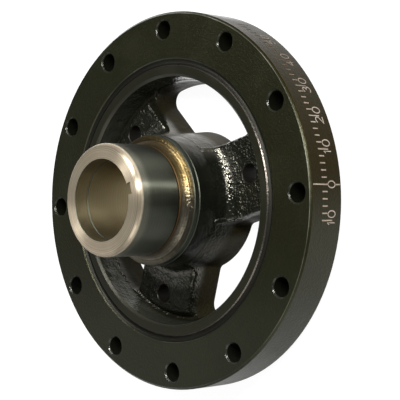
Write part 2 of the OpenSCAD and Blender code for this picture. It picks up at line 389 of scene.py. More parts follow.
# Black gloss enamel over the casting, grainy on the pads and at their feet. Deep in the windows
# the spray hardly reached, which leaves them dull and brown.
def makeCastEnamel(finish):
    material, tree, shader = newMaterial("castEnamel")
    grain = addGroup(tree, castGrain, Pebble_Scale=finish["pebbles"], Swell_Scale=finish["swell"])
    stain = addGroup(tree, patches, **finish["stain"])["Mask"]
    places = objectPlaces(tree)
    radius, height = places["radius"], places["height"]
    low, outer = addRange(tree, height, *finish["deepHeight"]), addRange(tree, radius, *finish["deepRadius"])
    deep = addMath(tree, "MAXIMUM", low, outer)
    across = addMath(tree, "ADD", addAlong(tree, places, finish["padEdge"]), finish["padOffset"])
    places["offEdge"] = addMath(tree, "ABSOLUTE", across)
    places["clean"] = addMask(tree, places, finish["clean"])  # the upper pad's edge is clean
    places["slant"] = addAlong(tree, places, finish["slant"])
    places["deep"] = deep
    rimGrain = addRange(tree, radius, *finish["rimGrain"])
    grainy = multiply(tree, addMask(tree, places, finish["grainy"]), rimGrain)
    windowWalls = addRange(tree, height, *finish["windowWall"])
    walls = addMath(tree, "MAXIMUM", addMask(tree, places, finish["barrelWall"]), windowWalls)
    lowerRightGrey = multiply(tree, addMask(tree, places, finish["lowerRightWalls"]), walls)
    brown = addMath(tree, "MAXIMUM", multiply(tree, stain, finish["stainShare"]), deep)
    colour = addMix(tree, brown, finish["black"], finish["brown"])
    for mask, tint in (
        (grain["Grains"], finish["grains"]),
        (multiply(tree, grain["Grains"], deep), finish["deepGrains"]),
        (addMask(tree, places, finish["rimWall"]), finish["rimWallSheen"]),
        (addMask(tree, places, finish["barrelTop"]), finish["barrelTopHighlight"]),
        (lowerRightGrey, finish["lowerSideGrey"]),
    ):
        colour = addMix(tree, mask, colour, tint)
    feed(tree, shader.inputs["Base Color"], colour)
    rough = addMath(
        tree, "ADD", addRange(tree, stain, 0.0, 1.0, *finish["roughness"]),
        multiply(tree, lowerRightGrey, finish["lowerWallRoughness"]), addRange(tree, radius, *finish["barrelRoughness"]),
        addRange(tree, radius, *finish["footRoughness"]), multiply(tree, deep, finish["deepRoughness"]),
    )
    feed(tree, shader.inputs["Roughness"], rough)
    deepShine = multiply(tree, deep, finish["deepShine"])
    shine = addMath(tree, "ADD", addMask(tree, places, finish["shine"]), deepShine)
    for limits in (finish["barrelShine"], finish["rimShine"]):
        shine = multiply(tree, shine, addRange(tree, radius, *limits))
    feed(tree, shader.inputs["Specular IOR Level"], shine)
    feed(tree, shader.inputs["Specular Tint"], finish["specularTint"])
    addBump(tree, shader, multiply(tree, grain["Height"], grainy), finish["bump"])
    return material


# What a turned finish has unless it says otherwise. radial and axial say how close the tool's
# marks lie along the radius and the axis, per metre.
turnedDefaults = {
    "metallic": 0.0, "radial": 0.0, "axial": 0.0, "depth": 0.00001, "spread": 0.08, "specular": 0.5,
    "anisotropy": 0.0, "tangentTurn": 0.25,
    "streak": (0.3, 0.7),  # the part of the marks' range that the colour follows
    "stain": {"Scale": 60.0, "Low": 0.4, "High": 0.7}, "blotch": 0.3,
    "upperPair": None, "upperFrom": None, "wander": 0.004,  # a second pair of colours, towards +Y; on the journal it is painted shade
    "polish": None,  # a band that handling keeps brighter: its heights and its colour
    "grit": 0.0, "gritGrain": {"Pebble_Scale": 1300.0, "Swell_Scale": 500.0},
    "paintTint": (1.0, 0.96, 0.80), "metalTint": (1.0, 1.0, 1.0),
}


# A turned surface, of metal or under paint: two colours by the tool's marks, and patches of stain
def makeTurned(name, values):
    finish = {**turnedDefaults, **values}
    material, tree, shader = newMaterial(name)
    marks = addGroup(tree, turning, Radial_Scale=finish["radial"], Axial_Scale=finish["axial"])
    stain = addGroup(tree, patches, **finish["stain"])["Mask"]
    streak = addRange(tree, marks["Streak"], *finish["streak"])
    colour = addMix(tree, streak, finish["dark"], finish["light"])
    places = objectPlaces(tree)
    if finish["upperPair"]:
        upper = addMath(tree, "ADD", places["y"], multiply(tree, stain, finish["wander"]))
        second = addMix(tree, streak, *finish["upperPair"])
        colour = addMix(tree, addRange(tree, upper, *finish["upperFrom"]), colour, second)
    if finish["polish"]:
        band, bright = finish["polish"]
        colour = addMix(tree, multiply(tree, addRange(tree, places["height"], *band), streak), colour, bright)
    colour = addMix(tree, multiply(tree, stain, finish["blotch"]), colour, finish["dark"])
    middle, half = finish["roughness"], finish["spread"] / 2
    tint = finish["metalTint"] if finish["metallic"] else finish["paintTint"]
    feed(tree, shader.inputs["Base Color"], colour)
    feed(tree, shader.inputs["Roughness"], addRange(tree, stain, 0.0, 1.0, middle - half, middle + half))
    feed(tree, shader.inputs["Metallic"], finish["metallic"])
    feed(tree, shader.inputs["Specular IOR Level"], finish["specular"])
    feed(tree, shader.inputs["Specular Tint"], tint)
    if finish["anisotropy"]:
        tangent = tree.nodes.new("ShaderNodeTangent")
        tangent.direction_type = "RADIAL"
        tangent.axis = "Z"
        feed(tree, shader.inputs["Anisotropic"], finish["anisotropy"])
        feed(tree, shader.inputs["Anisotropic Rotation"], finish["tangentTurn"])
        feed(tree, shader.inputs["Tangent"], tangent.outputs[0])
    first = addBump(tree, shader, marks["Height"], finish["depth"])
    if finish["grit"]:
        grit = addGroup(tree, castGrain, **finish["gritGrain"])["Height"]
        addBump(tree, shader, grit, finish["grit"], first)
    return material


hubFinishes = {
    "blackMachined": {
        "dark": (0.0032, 0.0036, 0.0015), "light": (0.0064, 0.0067, 0.0034), "roughness": 0.34,
        "radial": 2500.0, "axial": 2500.0, "depth": 0.00002, "specular": 0.35,
    },
    "journalSteel": {
        "dark": (0.084, 0.091, 0.070), "light": (0.170, 0.182, 0.146), "roughness": 0.30, "metallic": 1.0,
        "axial": 5200.0, "spread": 0.015, "anisotropy": 1.0, "blotch": 0.1,
        # darker on its upper side and lighter on its lower side: painted shade and painted light
        "upperPair": ((0.060, 0.064, 0.047), (0.122, 0.129, 0.101)), "upperFrom": (-0.0065, 0.0005),
        "polish": ((0.0535, 0.0575), (0.34, 0.33, 0.26)),
    },
    "turnedFace": {
        "dark": (0.34, 0.275, 0.19), "light": (0.62, 0.535, 0.40), "roughness": 0.34, "metallic": 0.85,
        "radial": 2600.0, "depth": 0.00003, "anisotropy": 0.9,
    },
    "goldFillet": {
        "dark": (0.068, 0.059, 0.042), "light": (0.225, 0.203, 0.152), "roughness": 0.40, "metallic": 1.0,
        "axial": 2600.0, "depth": 0.00004, "spread": 0.1, "anisotropy": 0.6, "blotch": 0.5, "grit": 0.00008,
        "upperPair": ((0.016, 0.010, 0.003), (0.25, 0.18, 0.075)), "upperFrom": (-0.006, 0.010),
    },
    "shoulderSteel": {
        "dark": (0.030, 0.034, 0.025), "light": (0.078, 0.084, 0.064), "roughness": 0.5, "metallic": 1.0,
        "axial": 4000.0,
    },
    "boreSteel": {
        "dark": (0.18, 0.148, 0.082), "light": (0.36, 0.305, 0.185), "roughness": 0.40, "metallic": 1.0,
        "axial": 4500.0, "anisotropy": 0.6,
    },
    # nearly black: painted shade inside the bolt holes
    "holeShadeSteel": {
        "dark": (0.0028, 0.0024, 0.0017), "light": (0.0105, 0.0091, 0.0063), "roughness": 0.4,
        "metallic": 0.1, "axial": 5000.0, "depth": 0.00003, "specular": 0.15,
    },
    "undercut": {
        "dark": (0.026, 0.017, 0.008), "light": (0.07, 0.043, 0.019), "roughness": 0.55, "metallic": 1.0,
        "axial": 6000.0,
    },
    "burnishedEdge": {
        "dark": (0.075, 0.066, 0.055), "light": (0.18, 0.158, 0.135), "roughness": 0.30, "metallic": 0.9,
        "radial": 1500.0, "axial": 1500.0, "depth": 0.00002, "grit": 0.00005,
    },
    "lipPaint": {
        "dark": (0.006, 0.006, 0.004), "light": (0.014, 0.014, 0.010), "roughness": 0.34,
        "radial": 1800.0, "axial": 1800.0, "depth": 0.00003,
    },
}

hubMaterials = {"castEnamel": makeCastEnamel(enamelFinish)}
for name, values in hubFinishes.items():
    hubMaterials[name] = makeTurned(name, values)
slotOf = {name: number for number, name in enumerate(hubMaterials)}
print("stage: the hub's materials")

hubSizes = {
    "spokes": 3, "spokeAngle": 15.3, "spokeFront": 34.8, "spokeRear": 33.2, "edgeHeight": 13.5,
    "padHeight": 15.5, "padInner": 34.0, "padOuter": 49.8, "padRound": 1.0,
    "valleyHeight": 11.5, "valleyRound": 2.5, "footRound": 4.5, "footRise": 1.6,
    "barrelFront": 30.8, "barrelFoot": 28.7, "barrelFootHeight": 20.0, "barrelTop": 28.5,
    "barrelTopHeight": 31.2, "rimWallFront": 52.5, "rimWallRear": 54.3, "rimHeight": 23.3,
    "rimRadius": 59.5, "rimChamfer": 0.6, "rimLip": 1.1,
    "cornerBarrel": 3.0, "cornerRim": 5.0, "wallClear": 0.15,
    "boltCircle": 43.0, "boltRadius": 4.0, "boltBevel": 0.35,
    "shoulderRadius": 28.2, "shoulderHeight": 34.0, "shoulderBevel": 0.3,
    "rootRadius": 4.0, "reliefDepth": 0.4, "reliefWidth": 1.4,
    "noseRadius": 23.87, "noseRound": 2.4, "height": 61.3,
    "boreRadius": 16.8, "boreBevel": 0.25, "leadRadius": 17.1, "leadDepth": 7.0, "leadBevel": 0.3,
    "keyHalf": 2.4, "keyFloor": 19.3, "seatRadius": 21.0, "seatDepth": 5.0, "seatBevel": 0.4,
    # the outline of a window by part, as windowWall counts it: the height of its upper edge, and
    # how round that edge is
    "topParts": (0, 1, 2.05, 3.0, 4.0, 5), "topHeights": (20.4, 19.5, 15.5, 15.0, 13.2, 13.2),
    "edgeSharp": 0.12, "edgeRound": 1.9, "roundFrom": (1.15, 2.05), "roundTo": (3.1, 3.9), "frontRound": 0.5,
    "sharpDegrees": 32,
    "castSoftness": 0.35, "castStep": 0.1,  # how far the casting's corners are softened, in what steps
    # the casting's uneven skin: its depth, and the width, seed and share of its waves
    "castDepth": 0.11, "castWaves": ((6.5, 3, 0.55), (3.0, 7, 0.22), (1.5, 11, 0.14)),
    # where it starts and ends, the barrel's side being inside split, and where it is shallower
    "skinFront": (0.6, 1.6), "skinAxis": (28.0, 28.4), "skinTop": (28.6, 30.4), "skinLip": (20.6, 22.0),
    "skinBolt": (0.2, 1.6), "split": 40.0, "skinRim": 54.35, "shallow": 0.6, "skinBarrel": (31.5, 34.0),
    "padSide": 17.0, "padSideClear": (0.8, 2.6), "padFrom": 30.0,
}
sector = 360.0 / hubSizes["spokes"]  # degrees from one spoke to the next

hubGrid = {  # columns and rows of each stretch of a window's grid
    "bore": 32, "keySide": 2, "keyFloor": 2, "inward": 26, "boltHole": 20, "outward": 20, "rim": 61,
    "outline": (30, 10, 52, 26, 45), "trough": 27, "roundEdge": 7, "wall": 15, "front": 10,
}


# Points along an arc round x, y, in even steps from the start to the end angle, in degrees
def arcPoints(x, y, radius, start, end, count):
    angle = np.radians(np.linspace(start, end, count))
    return np.column_stack([x + radius * np.cos(angle), y + radius * np.sin(angle)])


# The section of the trough from the barrel's top down to the pad, over the valley and up the
# rim's wall: straight lengths and arcs, resampled in even steps and softened with a bell-shaped
# average. Returns the length along it, the radius and the height.
def troughSection(sizes):
    valleyTop = sizes["valleyHeight"] + sizes["valleyRound"]
    opening = (sizes["rimWallRear"] - sizes["rimWallFront"]) / sizes["rimHeight"]
    wallFoot = sizes["rimWallFront"] + opening * valleyTop
    foot, pad, valley = sizes["footRound"], sizes["padRound"], sizes["valleyRound"]
    corners = np.vstack([
        [sizes["barrelTop"], sizes["barrelTopHeight"]],
        [sizes["barrelFoot"], sizes["barrelFootHeight"] + sizes["footRise"]],
        arcPoints(sizes["padInner"], sizes["padHeight"] + foot, foot, 188, 270, 16),
        arcPoints(sizes["padOuter"] - pad, sizes["padHeight"] - pad, pad, 90, 14, 6),
        arcPoints(wallFoot - valley, valleyTop, valley, -82, 0, 10),
        [sizes["rimWallRear"], sizes["rimHeight"] - sizes["rimLip"]],
    ])
    step, reach = sizes["castStep"], 12
    length = np.concatenate([[0], np.cumsum(np.hypot(*np.diff(corners, axis=0).T))])
    even = np.linspace(0, length[-1], int(length[-1] / step) + 1)
    path = np.column_stack([np.interp(even, length, corners[:, k]) for k in range(2)])
    bell = np.exp(-0.5 * (np.arange(-reach, reach + 1) * step / sizes["castSoftness"]) ** 2)
    bell /= bell.sum()
    padded = np.vstack([2 * path[0] - path[reach:0:-1], path, 2 * path[-1] - path[-2:-reach - 2:-1]])
    soft = np.column_stack([np.convolve(padded[:, k], bell, mode="valid") for k in range(2)])
    along = np.concatenate([[0], np.cumsum(np.hypot(*np.diff(soft, axis=0).T))])
    return along, np.maximum.accumulate(soft[:, 0]), soft[:, 1]


# A window's wall beside the spoke at angle 0, for each column's part of the outline and height:
# the barrel's arc, the fillet to the spoke, the spoke's drafted side, the fillet to the rim and
# the rim's arc. part runs from 0 to 5, one whole number for each of these.
def windowWall(part, height, sizes):
    draft = np.clip(height, 0, sizes["edgeHeight"]) / sizes["edgeHeight"]
    half = (sizes["spokeFront"] + (sizes["spokeRear"] - sizes["spokeFront"]) * draft) / 2
    taper = np.clip(height, 0, sizes["barrelFootHeight"]) / sizes["barrelFootHeight"]
    inner = sizes["barrelFront"] + (sizes["barrelFoot"] - sizes["barrelFront"]) * taper + sizes["wallClear"]
    opening = (sizes["rimWallRear"] - sizes["rimWallFront"]) * height / sizes["rimHeight"]
    outer = sizes["rimWallFront"] + opening - sizes["wallClear"]
    small, large = sizes["cornerBarrel"], sizes["cornerRim"]
    lowX, lowY = np.sqrt((inner + small) ** 2 - (half + small) ** 2), half + small
    highX, highY = np.sqrt((outer - large) ** 2 - (half + large) ** 2), half + large
    lowTurn, highTurn = np.arctan2(lowY, lowX), np.arctan2(highY, highX)
    middle = np.pi / sizes["spokes"]
    piece = np.minimum(np.floor(part), 4).astype(int)
    t = part - piece
    arcs = [
        (0, 0, inner, middle, lowTurn),
        (lowX, lowY, small, np.pi + lowTurn, 1.5 * np.pi),
        None,
        (highX, highY, large, -0.5 * np.pi, highTurn),
        (0, 0, outer, highTurn, middle),
    ]
    x, y = [], []
    for arc in arcs:
        if arc:
            centreX, centreY, radius, start, end = arc
            angle = start + (end - start) * t
            x.append(centreX + radius * np.cos(angle))
            y.append(centreY + radius * np.sin(angle))
        else:  # the spoke's side is straight
            x.append(lowX + (highX - lowX) * t)
            y.append(half + 0 * t)
    return np.choose(piece, x), np.choose(piece, y)


# Each of count steps from start to end, with the end left off
def steps(start, end, count):
    return start + (end - start) * np.arange(count) / count


# Half the angle that the keyway takes of the bore, in degrees, and the length of one of its sides
def keyway(sizes):
    side = sizes["keyFloor"] - np.sqrt(sizes["boreRadius"] ** 2 - sizes["keyHalf"] ** 2)
    return np.degrees(np.arcsin(sizes["keyHalf"] / sizes["boreRadius"])), side


# The columns of half a window's grid: for each, its part of the outline, its angle and length
# along the trough's edge (inner edge, spoke's middle line with the bolt hole, outer edge), and
# its radius along the front face's edge
def halfColumns(sizes, counts, along, radius):
    slot, side = keyway(sizes)
    corner = slot * sizes["keyHalf"] / (sizes["keyHalf"] + side)
    stops = ((sector / 2, slot, "bore"), (slot, corner, "keySide"), (corner, 0, "keyFloor"))
    innerTurn = np.concatenate([steps(start, end, counts[label]) for start, end, label in stops])
    hole = np.radians(180 - steps(0, 180, counts["boltHole"]))
    mouth = sizes["boltRadius"] + sizes["boltBevel"]
    holeX, holeY = sizes["boltCircle"] + mouth * np.cos(hole), mouth * np.sin(hole)
    near, far = sizes["boltCircle"] - mouth, sizes["boltCircle"] + mouth
    nearLength, farLength = np.interp([near, far], radius, along)
    holeRadius = np.hypot(holeX, holeY)
    holeLength = np.interp(holeRadius, radius, along)
    innerFront = sizes["seatRadius"] + sizes["seatBevel"]
    outerFront = sizes["rimRadius"] - sizes["rimChamfer"]
    inward, outward, rim = counts["inward"], counts["outward"], counts["rim"]
    sideLength = [steps(0, nearLength, inward), holeLength, steps(farLength, along[-1], outward)]
    sideTurn = [np.zeros(inward), np.degrees(np.arctan2(holeY, holeX)), np.zeros(outward)]
    sideRadius = [steps(innerFront, near, inward), holeRadius, steps(far, outerFront, outward)]
    turn = np.concatenate([innerTurn, *sideTurn, np.linspace(0, sector / 2, rim)])
    length = np.concatenate([np.zeros(len(innerTurn)), *sideLength, np.full(rim, along[-1])])
    front = np.concatenate([np.full(len(innerTurn), innerFront), *sideRadius, np.full(rim, outerFront)])
    part = [steps(k, k + 1, count) for k, count in enumerate(counts["outline"][:-1])]
    return np.concatenate([*part, np.linspace(4, 5, counts["outline"][-1])]), turn, length, front


# Waves in many seeded directions added up: a smooth uneven field of about unit spread, whose
# bumps are as wide as the given wavelength
def unevenField(points, wavelength, seed, waves=90, spread=(0.7, 1.5)):
    random = np.random.default_rng(seed)
    direction = random.normal(size=(waves, 3))
    direction /= np.linalg.norm(direction, axis=1)[:, None]
    pitch = 2 * np.pi / (wavelength * random.uniform(*spread, waves))
    phase = random.uniform(0, 2 * np.pi, waves)
    return np.cos(points @ (direction * pitch[:, None]).T + phase).sum(axis=1) * np.sqrt(2.0 / waves)


# 0 below low, 1 above high, and 3 t squared less 2 t cubed between them
def smoothStep(value, low, high):
    t = np.clip((value - low) / (high - low), 0, 1)
    return t * t * (3 - 2 * t)


# The rows of one sector, from the trough's edge over the rounded edge and down the window's wall
# to the front face's edge. The trough's and the front face's rows go in even steps of length or
# radius and of angle from edge to window; the rounded edge is a quarter turn between the trough
# and the wall; the wall's rows follow windowWall.
def sectorRows(sizes, counts, section):
    along, radius, height = section
    part, turn, length, front = halfColumns(sizes, counts, along, radius)
    roundShare = smoothStep(part, *sizes["roundFrom"]) * (1 - smoothStep(part, *sizes["roundTo"]))
    edge = sizes["edgeSharp"] + sizes["edgeRound"] * roundShare
    top = np.interp(part, sizes["topParts"], sizes["topHeights"])
    wallX, wallY = windowWall(part, top, sizes)
    aside = 0.02  # the outline's direction is taken from this far on each side, in parts
    lowX, lowY = windowWall(np.clip(part - aside, 0, 5), top, sizes)
    nextX, nextY = windowWall(np.clip(part + aside, 0, 5), top, sizes)
    size = np.hypot(nextX - lowX, nextY - lowY)
    outX, outY = (nextY - lowY) / size, (lowX - nextX) / size  # away from the window
    rimX, rimY = wallX + outX * edge, wallY + outY * edge
    rimLength = np.interp(np.hypot(rimX, rimY), radius, along)
    rimTurn = np.degrees(np.arctan2(rimY, rimX))
    rimTop = np.interp(rimLength, along, height)
    rows = []
    for share in np.linspace(0, 1, counts["trough"])[:-1]:
        s = length + (rimLength - length) * share
        a = np.radians(turn + (rimTurn - turn) * share)
        r = np.interp(s, along, radius)
        rows.append(np.column_stack([r * np.cos(a), r * np.sin(a), np.interp(s, along, height)]))
    for angle in np.radians(np.linspace(0, 90, counts["roundEdge"])[:-1]):
        z = rimTop - edge * (1 - np.cos(angle))
        wallX, wallY = windowWall(part, z, sizes)
        away = edge * (1 - np.sin(angle))
        rows.append(np.column_stack([wallX + outX * away, wallY + outY * away, z]))
    for share in np.linspace(0, 1, counts["wall"]):
        z = (rimTop - edge) + (sizes["frontRound"] - (rimTop - edge)) * share
        rows.append(np.column_stack([*windowWall(part, z, sizes), z]))
    wallX, wallY = windowWall(part, 0 * part, sizes)
    middle = 0.3 * sizes["frontRound"]  # the rounded front edge's middle
    rows.append(np.column_stack([wallX + outX * middle, wallY + outY * middle, 0 * part + middle]))
    openX, openY = wallX + outX * sizes["frontRound"], wallY + outY * sizes["frontRound"]
    openRadius, openTurn = np.hypot(openX, openY), np.degrees(np.arctan2(openY, openX))
    castRows = len(rows)
    for share in np.linspace(0, 1, counts["front"]):
        r = openRadius + (front - openRadius) * share
        a = np.radians(openTurn + (turn - openTurn) * share)
        rows.append(np.column_stack([r * np.cos(a), r * np.sin(a), 0 * r]))
    return np.array(rows), turn, castRows


# The crank bore's plan at a given radius, for angles from the keyway's middle: a circle, or the
# keyway's floor and side within its width
def borePlan(turn, radius, sizes):
    slot, sideLength = keyway(sizes)
    local = (turn + 180) % 360 - 180
    edge = np.sqrt(radius ** 2 - sizes["keyHalf"] ** 2)
    path = np.clip(np.abs(local) / slot, 0, 1) * (sizes["keyHalf"] + sideLength)
    side = np.clip(path - sizes["keyHalf"], 0, None) / sideLength
    slotX = sizes["keyFloor"] + (edge - sizes["keyFloor"]) * side
    slotY = np.sign(local) * np.minimum(path, sizes["keyHalf"])
    slotHalf = np.degrees(np.arcsin(sizes["keyHalf"] / radius))
    stretched = slotHalf + (np.abs(local) - slot) * (180 - slotHalf) / (180 - slot)
    bearing = np.radians(np.sign(local) * stretched)
    inSlot = np.abs(local) <= slot + 1e-6
    x = np.where(inSlot, slotX, radius * np.cos(bearing))
    return x, np.where(inSlot, slotY, radius * np.sin(bearing))


# Points turned round the axis: x cos a less y sin a, and x sin a plus y cos a
def turnPoints(points, degrees):
    a = np.radians(degrees)
    x = points[..., 0] * np.cos(a) - points[..., 1] * np.sin(a)
    y = points[..., 0] * np.sin(a) + points[..., 1] * np.cos(a)
    return np.stack([x, y, points[..., 2]], axis=-1)


# Rings of points: one row for each [radius, height] of a section, at the given angles
def lathe(section, angles):
    a = np.radians(angles)
    r, z = section[:, 0][:, None], section[:, 1][:, None]
    return np.stack([r * np.cos(a), r * np.sin(a), z + 0 * a], axis=-1)


# Straight runs between a section's points, cut so that no run is longer than the given length
def divided(section, longest):
    section = np.asarray(section, float)
    pieces = []
    for start, end in zip(section[:-1], section[1:]):
        count = max(1, int(np.ceil(np.hypot(*(end - start)) / longest)))
        pieces.append(start + (end - start) * (np.arange(count) / count)[:, None])
    return np.vstack(pieces + [section[-1:]])


# Rings of points in nine even steps from one plan to another, at one height
def plate(first, last, height):
    share = np.linspace(0, 1, 9)[:, None]
    x, y = (start + (end - start) * share for start, end in zip(first, last))
    return np.stack([x, y, height + 0 * x], axis=-1)


# The quads of a grid of points, given as rows of columns that close round on themselves
def gridQuads(rows, columns, start):
    index = start + np.arange(rows * columns).reshape(rows, columns)
    index = np.column_stack([index, index[:, 0]])
    return np.stack([index[:-1, :-1], index[:-1, 1:], index[1:, 1:], index[1:, :-1]], axis=-1).reshape(-1, 4)


meshSettings = {"grain": 2e-7, "weld": 3e-6, "smallest": 1e-7}  # metres: what counts as one point


# Points and quads of several grids put into one mesh, in metres; points that meet are merged,
# and each grid comes with its material's number, or with one for each quad
def meshFromGrids(name, grids, materials, sharpDegrees):
    points, quads, slots, start = [], [], [], 0
    for rows, slot in grids:
        quad = gridQuads(rows.shape[0], rows.shape[1], start)
        points.append(rows.reshape(-1, 3))
        quads.append(quad)
        slots.append(np.broadcast_to(slot, len(quad)))
        start += rows.shape[0] * rows.shape[1]
    points, quads, slots = np.vstack(points) * mm, np.vstack(quads), np.concatenate(slots)
    cells = np.round(points / meshSettings["grain"]).astype(np.int64)
    first, back = np.unique(cells, axis=0, return_index=True, return_inverse=True)[1:]
    mesh = bpy.data.meshes.new(name)
    mesh.from_pydata(points[first], [], back.reshape(-1)[quads].tolist())
    for material in materials:
        mesh.materials.append(material)
    mesh.polygons.foreach_set("material_index", slots.astype(np.int32))
    work = bmesh.new()
    work.from_mesh(mesh)
    bmesh.ops.remove_doubles(work, verts=work.verts, dist=meshSettings["weld"])
    bmesh.ops.dissolve_degenerate(work, edges=work.edges, dist=meshSettings["smallest"])
    bmesh.ops.recalc_face_normals(work, faces=work.faces)
    loose = sum(1 for edge in work.edges if len(edge.link_faces) != 2)
    work.to_mesh(mesh)
    work.free()
    mesh.polygons.foreach_set("use_smooth", np.ones(len(mesh.polygons), bool))
    mesh.set_sharp_from_angle(angle=np.radians(sharpDegrees))
    print("  ", name, len(mesh.polygons), "faces, edges without two faces:", loose)
    piece = bpy.data.objects.new(name, mesh)
    bpy.context.collection.objects.link(piece)
    return piece


# Moves the vertices of the casting's skin along their normals by an uneven field. Its share fades
# out at the turned surfaces and at the bolt holes, and is less on the barrel and at the pads' sides.
def roughenHub(piece, sizes):
    mesh = piece.data
    points, normals = np.empty(len(mesh.vertices) * 3), np.empty(len(mesh.vertices) * 3)
    mesh.vertices.foreach_get("co", points)
    mesh.vertex_normals.foreach_get("vector", normals)
    points, normals = points.reshape(-1, 3) / mm, normals.reshape(-1, 3)
    radius, z = np.hypot(points[:, 0], points[:, 1]), points[:, 2]
    barrel = radius < sizes["split"]
    skin = smoothStep(z, *sizes["skinFront"]) * smoothStep(radius, *sizes["skinAxis"])
    skin *= (1 - smoothStep(z, *sizes["skinTop"]) * barrel) * (1 - smoothStep(z, *sizes["skinLip"]) * ~barrel)
    skin *= 1 - sizes["shallow"] * (1 - smoothStep(radius, *sizes["skinBarrel"]))
    skin *= radius < sizes["skinRim"]
    mouth = sizes["boltRadius"] + sizes["boltBevel"]
    for k in range(sizes["spokes"]):
        x, y = turnPoints(points, -sizes["spokeAngle"] - k * sector).T[:2]
        gap = np.hypot(x - sizes["boltCircle"], y)
        skin *= smoothStep(gap - mouth, *sizes["skinBolt"])
        side = 1 - smoothStep(np.abs(np.abs(y) - sizes["padSide"]), *sizes["padSideClear"])
        skin *= 1 - sizes["shallow"] * side * (x > sizes["padFrom"])
    field = sum(share * unevenField(points, width, seed) for width, seed, share in sizes["castWaves"])
    points += normals * (skin * sizes["castDepth"] * field)[:, None]
    mesh.vertices.foreach_set("co", (points * mm).reshape(-1))
    mesh.update()


# Angles round the whole hub, from the middle of a spoke, that meet the windows' grids: those of
# half a sector, mirrored and repeated
def ringAngles(half, sizes):
    both = np.concatenate([-half[::-1], half[1:]])[:-1]
    return np.concatenate([both + sector * k for k in range(sizes["spokes"])])


# A grid turned round the axis for each profile, with its finish and its longest run
def latheGrids(profiles, angles):
    return [(lathe(divided(profile, run), angles), slotOf[finish]) for profile, finish, run in profiles]


# The same grid at each spoke
def turnedCopies(rows, slots, sizes):
    return [(turnPoints(rows, sizes["spokeAngle"] + sector * k), slots) for k in range(sizes["spokes"])]


# Each bolt hole's wall, from the mouth in the front face up to the mouth on the pad
def boltGrids(sizes, counts):
    bevel, pad = sizes["boltBevel"], sizes["padHeight"]
    half = steps(0, 180, counts["boltHole"])
    across = np.radians(np.concatenate([180 - half, -half]))
    depth = divided([[bevel, 0], [0, bevel], [0, pad - bevel], [bevel, pad]], 1.2)
    reach, height = sizes["boltRadius"] + depth[:, 0][:, None], depth[:, 1][:, None]
    x, y = sizes["boltCircle"] + reach * np.cos(across), reach * np.sin(across)
    return turnedCopies(np.stack([x, y, height + 0 * x], axis=-1), slotOf["holeShadeSteel"], sizes)


# The shoulder, the nose, its end face, the bore and the washer's seat, all at the same angles
def noseGrids(sizes, local):
    angles = local + sizes["spokeAngle"]
    top, nose, bend, root = sizes["height"], sizes["noseRadius"], sizes["noseRound"], sizes["rootRadius"]
    collar, collarTop, bevel = sizes["shoulderRadius"], sizes["shoulderHeight"], sizes["shoulderBevel"]
    low, barrelTop, relief = collarTop + root, sizes["barrelTopHeight"], sizes["reliefDepth"]
    high = low + sizes["reliefWidth"]
    seat, seatDepth, seatBevel = sizes["seatRadius"], sizes["seatDepth"], sizes["seatBevel"]
    lead, bore, step = sizes["leadRadius"], sizes["boreRadius"], top - sizes["leadDepth"]
    mouth = lead + sizes["boreBevel"]
    shoulder = [[sizes["barrelTop"], barrelTop], [collar, barrelTop + bevel], [collar, collarTop - bevel],
                [collar - bevel, collarTop]]
    groove = [[nose, low], [nose - relief, low + relief], [nose - relief, high - relief], [nose, high]]
    grids = latheGrids((
        (shoulder, "shoulderSteel", 0.8),
        (arcPoints(nose + root, low, root, 270, 180, 13), "goldFillet", 2.0),
        (groove, "undercut", 0.5),
        ([[nose, high], [nose, top - bend]], "journalSteel", 1.2),
        ([[collar - bevel, collarTop], [nose + root, collarTop]], "shoulderSteel", 0.5),
        (arcPoints(nose - bend, top - bend, bend, 0, 90, 9), "turnedFace", 2.0),
    ), angles)
    circle = np.array([np.cos(np.radians(local)), np.sin(np.radians(local))])
    face = plate((nose - bend) * circle, borePlan(local, mouth, sizes), top)
    inside = [[mouth, top], [lead, top - sizes["boreBevel"]], [lead, step + sizes["leadBevel"]],
              [bore, step], [bore, seatDepth]]
    levels = divided(inside, 1.6)
    walls = np.array([np.stack([*borePlan(local, r, sizes), z + 0 * local], axis=-1) for r, z in levels])
    middle, half = (levels[1:, 1] + levels[:-1, 1]) / 2, sizes["leadBevel"] / 2
    edges = (middle > top - sizes["boreBevel"]) | (np.abs(middle - step - half) < half)  # duller
    slots = np.repeat(np.where(edges, slotOf["shoulderSteel"], slotOf["boreSteel"]), local.size)
    floor = plate(borePlan(local, bore, sizes), seat * circle, seatDepth)
    for rows, slot in ((face, slotOf["turnedFace"]), (walls, slots), (floor, slotOf["boreSteel"])):
        grids.append((turnPoints(rows, sizes["spokeAngle"]), slot))
    seatWall = [[seat, seatDepth], [seat, seatBevel], [seat + seatBevel, 0]]
    return grids + latheGrids(((seatWall, "boreSteel", 1.0),), angles)


# The rim's lip, rear face, edge and outer wall
def rimGrids(sizes, local):
    rim, chamfer, lip, top = sizes["rimRadius"], sizes["rimChamfer"], sizes["rimLip"], sizes["rimHeight"]
    crown = [[sizes["rimWallRear"], top - lip], [sizes["rimWallRear"] + lip, top], [rim - chamfer, top],
             [rim, top - chamfer], [rim, chamfer], [rim - chamfer, 0]]
    profiles = ((crown[:2], "lipPaint", 2.0), (crown[1:3], "blackMachined", 2.0),
                (crown[2:4], "burnishedEdge", 2.0), (crown[3:], "blackMachined", 2.0))
    return latheGrids(profiles, local + sizes["spokeAngle"])


